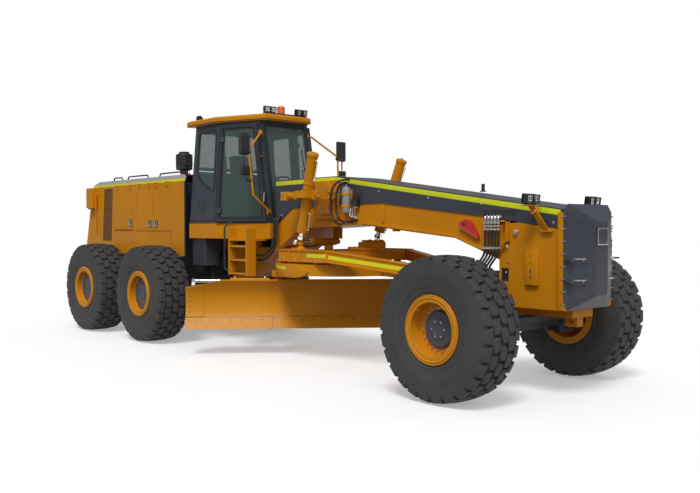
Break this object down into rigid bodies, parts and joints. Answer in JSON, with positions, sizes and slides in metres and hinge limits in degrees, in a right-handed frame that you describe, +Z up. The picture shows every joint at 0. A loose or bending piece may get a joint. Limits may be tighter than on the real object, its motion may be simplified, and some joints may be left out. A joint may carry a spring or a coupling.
{
  "type": "motor grader",
  "caption": "Articulated motor grader with a cab, a rear engine hood, tandem drive wheels, leaning front wheels and a blade under the frame, raised and angled.",
  "frame": {"origin": "on the ground, on the centreline, at the middle of the overall length", "axes": "+X forward, +Y to the machine's left, +Z up"},
  "size_m": [11.1945, 3.514, 3.8702],
  "materials": {
    "yellow_paint": "gloss",
    "dark_paint": "satin",
    "tyre_rubber": "matt",
    "chrome_rod": "polished",
    "clear_glass": "clear",
    "black_plastic": "matt",
    "seat_cover": "woven",
    "hose_rubber": "matt",
    "vent_mesh": "matt"
  },
  "bodies": {
    "rear_frame": {"rear_frame": "dark_paint", "tandem_cases": "dark_paint", "hood": "yellow_paint", "hood_panels": "yellow_paint", "hood_vents": "vent_mesh", "engine_block": "dark_paint", "hood_top_fittings": "black_plastic"},
    "front_frame": {"front_frame": "yellow_paint", "frame_cover": "dark_paint", "front_post": "yellow_paint", "nose_cover": "dark_paint", "front_axle": "dark_paint", "cab_frame": "dark_paint", "cab_glass": "clear_glass", "cab_roof": "yellow_paint", "cab_platform": "yellow_paint", "cab_fittings": "black_plastic", "cab_interior": "black_plastic", "seat_cushions": "seat_cover", "front_fittings": "yellow_paint", "hoses": "hose_rubber"},
    "wheel_front_right": {"tyre_front_right": "tyre_rubber", "rim_front_right": "yellow_paint"},
    "wheel_front_left": {"tyre_front_left": "tyre_rubber", "rim_front_left": "yellow_paint"},
    "wheel_middle_right": {"tyre_middle_right": "tyre_rubber", "rim_middle_right": "yellow_paint"},
    "wheel_middle_left": {"tyre_middle_left": "tyre_rubber", "rim_middle_left": "yellow_paint"},
    "wheel_rear_right": {"tyre_rear_right": "tyre_rubber", "rim_rear_right": "yellow_paint"},
    "wheel_rear_left": {"tyre_rear_left": "tyre_rubber", "rim_rear_left": "yellow_paint"},
    "lean_bracket_right": {"lean_bracket_right": "dark_paint"},
    "lean_bracket_left": {"lean_bracket_left": "dark_paint"},
    "knuckle_right": {"knuckle_right": "dark_paint"},
    "knuckle_left": {"knuckle_left": "dark_paint"},
    "yoke_ring_right": {"yoke_ring_right": "yellow_paint"},
    "yoke_ring_left": {"yoke_ring_left": "yellow_paint"},
    "lift_barrel_right": {"lift_barrel_right": "yellow_paint"},
    "lift_barrel_left": {"lift_barrel_left": "yellow_paint"},
    "lift_rod_right": {"lift_rod_right": "chrome_rod"},
    "lift_rod_left": {"lift_rod_left": "chrome_rod"},
    "hood_doors_right": {"hood_doors_right": "yellow_paint"},
    "hood_doors_left": {"hood_doors_left": "yellow_paint"},
    "cab_door_right": {"cab_door_right": "dark_paint", "cab_door_glass_right": "clear_glass"},
    "cab_door_left": {"cab_door_left": "dark_paint", "cab_door_glass_left": "clear_glass"},
    "lean_bar": {"lean_bar": "dark_paint"},
    "tie_rod_stud": {"tie_rod_stud": "dark_paint"},
    "tie_rod": {"tie_rod": "dark_paint"},
    "drawbar_swivel": {"drawbar_swivel": "yellow_paint"},
    "circle": {"circle": "yellow_paint"},
    "tip_frame": {"tip_frame": "yellow_paint"},
    "centre_shift_barrel": {"centre_shift_barrel": "yellow_paint"},
    "centre_shift_rod": {"centre_shift_rod": "chrome_rod"},
    "drawbar": {"drawbar": "yellow_paint"},
    "moldboard": {"moldboard": "yellow_paint", "side_shift_rod": "chrome_rod"}
  },
  "joints": [
    {"name": "articulation", "type": "hinge", "parent": "rear_frame", "child": "front_frame", "pos_m": [-1.45, 0, 1.3], "axis": [0, 0, 1], "range_deg": [-20, 20]},
    {"name": "wheel_front_right_spin", "type": "hinge", "parent": "knuckle_right", "child": "wheel_front_right", "pos_m": [4.45, -1.264, 0.8085], "axis": [0, 1, 0], "continuous": true},
    {"name": "wheel_front_left_spin", "type": "hinge", "parent": "knuckle_left", "child": "wheel_front_left", "pos_m": [4.45, 1.264, 0.8085], "axis": [0, 1, 0], "continuous": true},
    {"name": "wheel_middle_right_spin", "type": "hinge", "parent": "rear_frame", "child": "wheel_middle_right", "pos_m": [-2.18, -1.264, 0.8085], "axis": [0, 1, 0], "continuous": true},
    {"name": "wheel_middle_left_spin", "type": "hinge", "parent": "rear_frame", "child": "wheel_middle_left", "pos_m": [-2.18, 1.264, 0.8085], "axis": [0, 1, 0], "continuous": true},
    {"name": "wheel_rear_right_spin", "type": "hinge", "parent": "rear_frame", "child": "wheel_rear_right", "pos_m": [-4.3, -1.264, 0.8085], "axis": [0, 1, 0], "continuous": true},
    {"name": "wheel_rear_left_spin", "type": "hinge", "parent": "rear_frame", "child": "wheel_rear_left", "pos_m": [-4.3, 1.264, 0.8085], "axis": [0, 1, 0], "continuous": true},
    {"name": "wheel_lean", "type": "hinge", "parent": "front_frame", "child": "lean_bracket_right", "pos_m": [4.45, -0.945, 0.65], "axis": [1, 0, 0], "range_deg": [-17, 17]},
    {"name": "wheel_lean_left", "type": "hinge", "parent": "front_frame", "child": "lean_bracket_left", "pos_m": [4.45, 0.945, 0.65], "axis": [1, 0, 0], "range_deg": [-17, 17]},
    {"name": "lean_bar_pin", "type": "hinge", "parent": "lean_bracket_right", "child": "lean_bar", "pos_m": [4.62, -0.945, 0.82], "axis": [1, 0, 0], "range_deg": [-17, 17]},
    {"name": "steering", "type": "hinge", "parent": "lean_bracket_right", "child": "knuckle_right", "pos_m": [4.45, -1.03, 0.8085], "axis": [0, 0, 1], "range_deg": [-34, 34]},
    {"name": "steering_left", "type": "hinge", "parent": "lean_bracket_left", "child": "knuckle_left", "pos_m": [4.45, 1.03, 0.8085], "axis": [0, 0, 1], "range_deg": [-34, 34]},
    {"name": "tie_rod_turn", "type": "hinge", "parent": "knuckle_right", "child": "tie_rod_stud", "pos_m": [4.22, -1.03, 0.715], "axis": [0, 0, 1], "range_deg": [-34, 34]},
    {"name": "tie_rod_level", "type": "hinge", "parent": "tie_rod_stud", "child": "tie_rod", "pos_m": [4.22, -1.03, 0.715], "axis": [1, 0, 0], "range_deg": [-17, 17]},
    {"name": "drawbar_swing", "type": "hinge", "parent": "front_frame", "child": "drawbar_swivel", "pos_m": [4.25, 0, 1.25], "axis": [0, 0, 1], "range_deg": [-4, 4]},
    {"name": "drawbar_lift", "type": "hinge", "parent": "drawbar_swivel", "child": "drawbar", "pos_m": [4.25, 0, 1.25], "axis": [0, 1, 0], "range_deg": [-7.1, 0]},
    {"name": "circle_turn", "type": "hinge", "parent": "drawbar", "child": "circle", "pos_m": [1.25, 0, 1.32], "axis": [0, 0, 1], "range_deg": [0, 75]},
    {"name": "blade_tip", "type": "hinge", "parent": "circle", "child": "tip_frame", "pos_m": [0.79109, 0.35469, 0.65], "axis": [0.6115, 0.7912, 0], "range_deg": [-4, 15]},
    {"name": "blade_shift", "type": "slide", "parent": "tip_frame", "child": "moldboard", "axis": [0.6115, 0.7912, 0], "range_m": [-0.26, 0.26]},
    {"name": "lift_ring_right", "type": "hinge", "parent": "front_frame", "child": "yoke_ring_right", "pos_m": [1.45, -0.81, 2.37], "axis": [1, 0, 0], "range_deg": [-18, 18]},
    {"name": "lift_barrel_right_pitch", "type": "hinge", "parent": "yoke_ring_right", "child": "lift_barrel_right", "pos_m": [1.45, -0.81, 2.37], "axis": [0, 1, 0], "range_deg": [-8, 8]},
    {"name": "lift_rod_right_slide", "type": "slide", "parent": "lift_barrel_right", "child": "lift_rod_right", "axis": [-0.3252, 0.0941, -0.941], "range_m": [-0.02, 0.4]},
    {"name": "lift_ring_left", "type": "hinge", "parent": "front_frame", "child": "yoke_ring_left", "pos_m": [1.45, 0.81, 2.37], "axis": [1, 0, 0], "range_deg": [-18, 18]},
    {"name": "lift_barrel_left_pitch", "type": "hinge", "parent": "yoke_ring_left", "child": "lift_barrel_left", "pos_m": [1.45, 0.81, 2.37], "axis": [0, 1, 0], "range_deg": [-8, 8]},
    {"name": "lift_rod_left_slide", "type": "slide", "parent": "lift_barrel_left", "child": "lift_rod_left", "axis": [-0.3252, -0.0941, -0.941], "range_m": [-0.02, 0.4]},
    {"name": "centre_shift_tilt", "type": "hinge", "parent": "front_frame", "child": "centre_shift_barrel", "pos_m": [0.85, 0.27, 1.7], "axis": [-0.9794, -0.2019, 0], "range_deg": [-30, 5]},
    {"name": "centre_shift_slide", "type": "slide", "parent": "centre_shift_barrel", "child": "centre_shift_rod", "axis": [0.2019, -0.9794, 0], "range_m": [-0.26, 0.26]},
    {"name": "cab_door_right_hinge", "type": "hinge", "parent": "front_frame", "child": "cab_door_right", "pos_m": [-0.81108, -0.87764, 2.00214], "axis": [0.0123, -0.0677, -0.9976], "range_deg": [0, 80]},
    {"name": "hood_doors_right_hinge", "type": "hinge", "parent": "rear_frame", "child": "hood_doors_right", "pos_m": [-1.74, -0.912, 2.702], "axis": [-1, 0, 0], "range_deg": [0, 75]},
    {"name": "cab_door_left_hinge", "type": "hinge", "parent": "front_frame", "child": "cab_door_left", "pos_m": [-0.81108, 0.87764, 2.00214], "axis": [-0.0123, -0.0677, 0.9976], "range_deg": [0, 80]},
    {"name": "hood_doors_left_hinge", "type": "hinge", "parent": "rear_frame", "child": "hood_doors_left", "pos_m": [-1.74, 0.912, 2.702], "axis": [1, 0, 0], "range_deg": [0, 75]}
  ],
  "couplings": [
    {"joint": "wheel_lean_left", "follows": "wheel_lean", "ratio": 1},
    {"joint": "lean_bar_pin", "follows": "wheel_lean", "ratio": -1},
    {"joint": "steering_left", "follows": "steering", "ratio": 1},
    {"joint": "tie_rod_turn", "follows": "steering", "ratio": -1},
    {"joint": "tie_rod_level", "follows": "wheel_lean", "ratio": -0.91748},
    {"joint": "lift_ring_right", "follows": "drawbar_swing", "ratio": -3.5133},
    {"joint": "lift_barrel_right_pitch", "follows": "drawbar_lift", "ratio": 0.69755},
    {"joint": "lift_rod_right_slide", "follows": "drawbar_lift", "m_per_rad": -2.993},
    {"joint": "lift_ring_left", "follows": "drawbar_swing", "ratio": -3.5133},
    {"joint": "lift_barrel_left_pitch", "follows": "drawbar_lift", "ratio": 0.69755},
    {"joint": "lift_rod_left_slide", "follows": "drawbar_lift", "m_per_rad": -2.993},
    {"joint": "centre_shift_tilt", "follows": "drawbar_lift", "ratio": 2.4839},
    {"joint": "centre_shift_slide", "follows": "drawbar_swing", "m_per_rad": 3.273}
  ]
}
